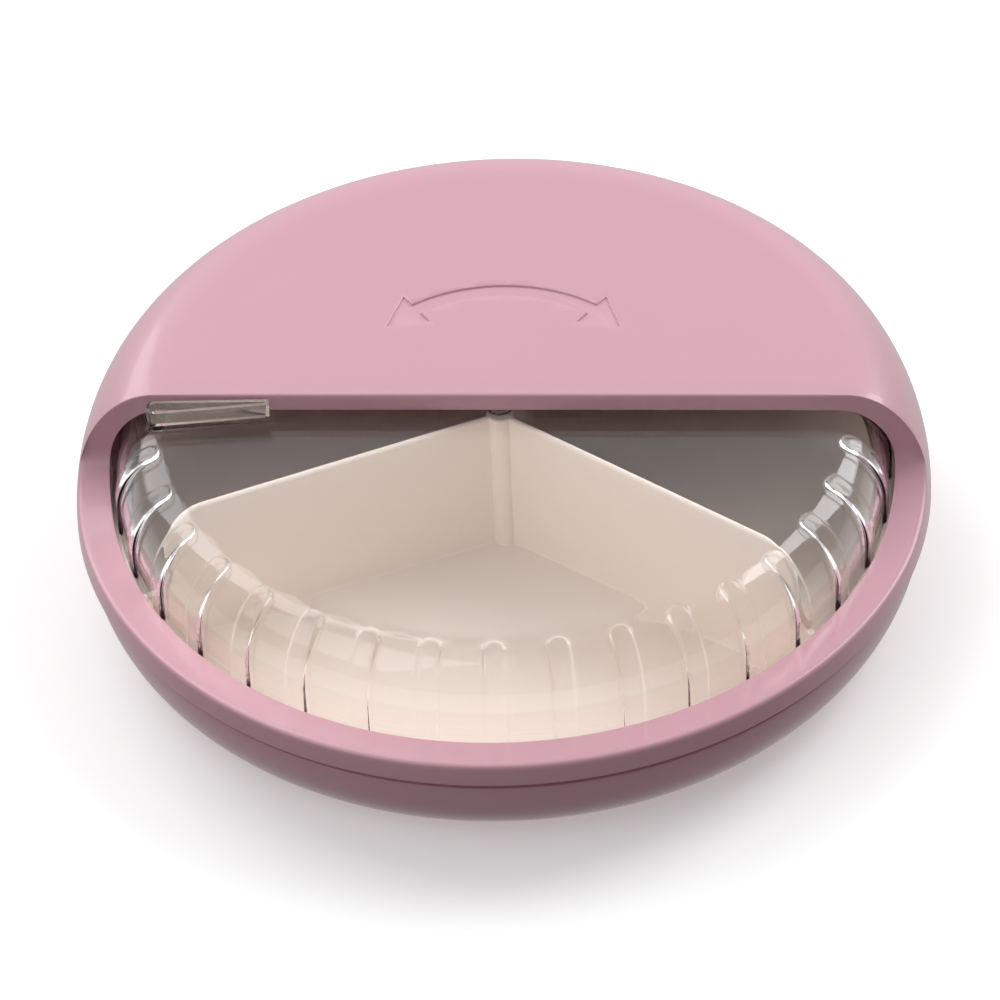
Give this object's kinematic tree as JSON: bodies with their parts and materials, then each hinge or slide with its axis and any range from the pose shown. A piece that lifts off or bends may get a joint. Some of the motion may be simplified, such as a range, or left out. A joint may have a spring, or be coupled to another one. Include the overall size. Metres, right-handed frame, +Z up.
{
  "type": "snack container",
  "caption": "Low round snack container with a hooded cover, a clear ribbed lid that spins to bring its mouth into the window, a divided insert and a bowl base.",
  "frame": {"origin": "middle of the base's resting face, on the axis that the lid turns about", "axes": "+Z up, along the turning axis; the cover's window faces -Y and its hood covers +Y; +X is to the right of someone who looks at the window"},
  "size_m": [0.165, 0.165, 0.0446],
  "materials": {
    "pink_base": "satin moulded plastic, dusty pink",
    "cream_insert": "satin moulded plastic, warm cream",
    "clear_lid": "clear moulded plastic, polished",
    "pink_cover": "satin moulded plastic, dusty pink"
  },
  "bodies": {
    "base": {"base_bowl": "pink_base"},
    "insert": {"compartment_insert": "cream_insert"},
    "cover": {"hooded_cover": "pink_cover"},
    "lid": {"spin_lid": "clear_lid"}
  },
  "joints": [
    {"name": "insert_turn", "type": "hinge", "parent": "base", "child": "insert", "pos_m": [0, 0, 0], "axis": [0, 0, 1], "continuous": true},
    {"name": "cover_lift", "type": "slide", "parent": "base", "child": "cover", "axis": [0, 0, 1], "range_m": [0, 0.08]},
    {"name": "lid_spin", "type": "hinge", "parent": "cover", "child": "lid", "pos_m": [0, 0, 0], "axis": [0, 0, 1], "range_deg": [0, 171]}
  ]
}
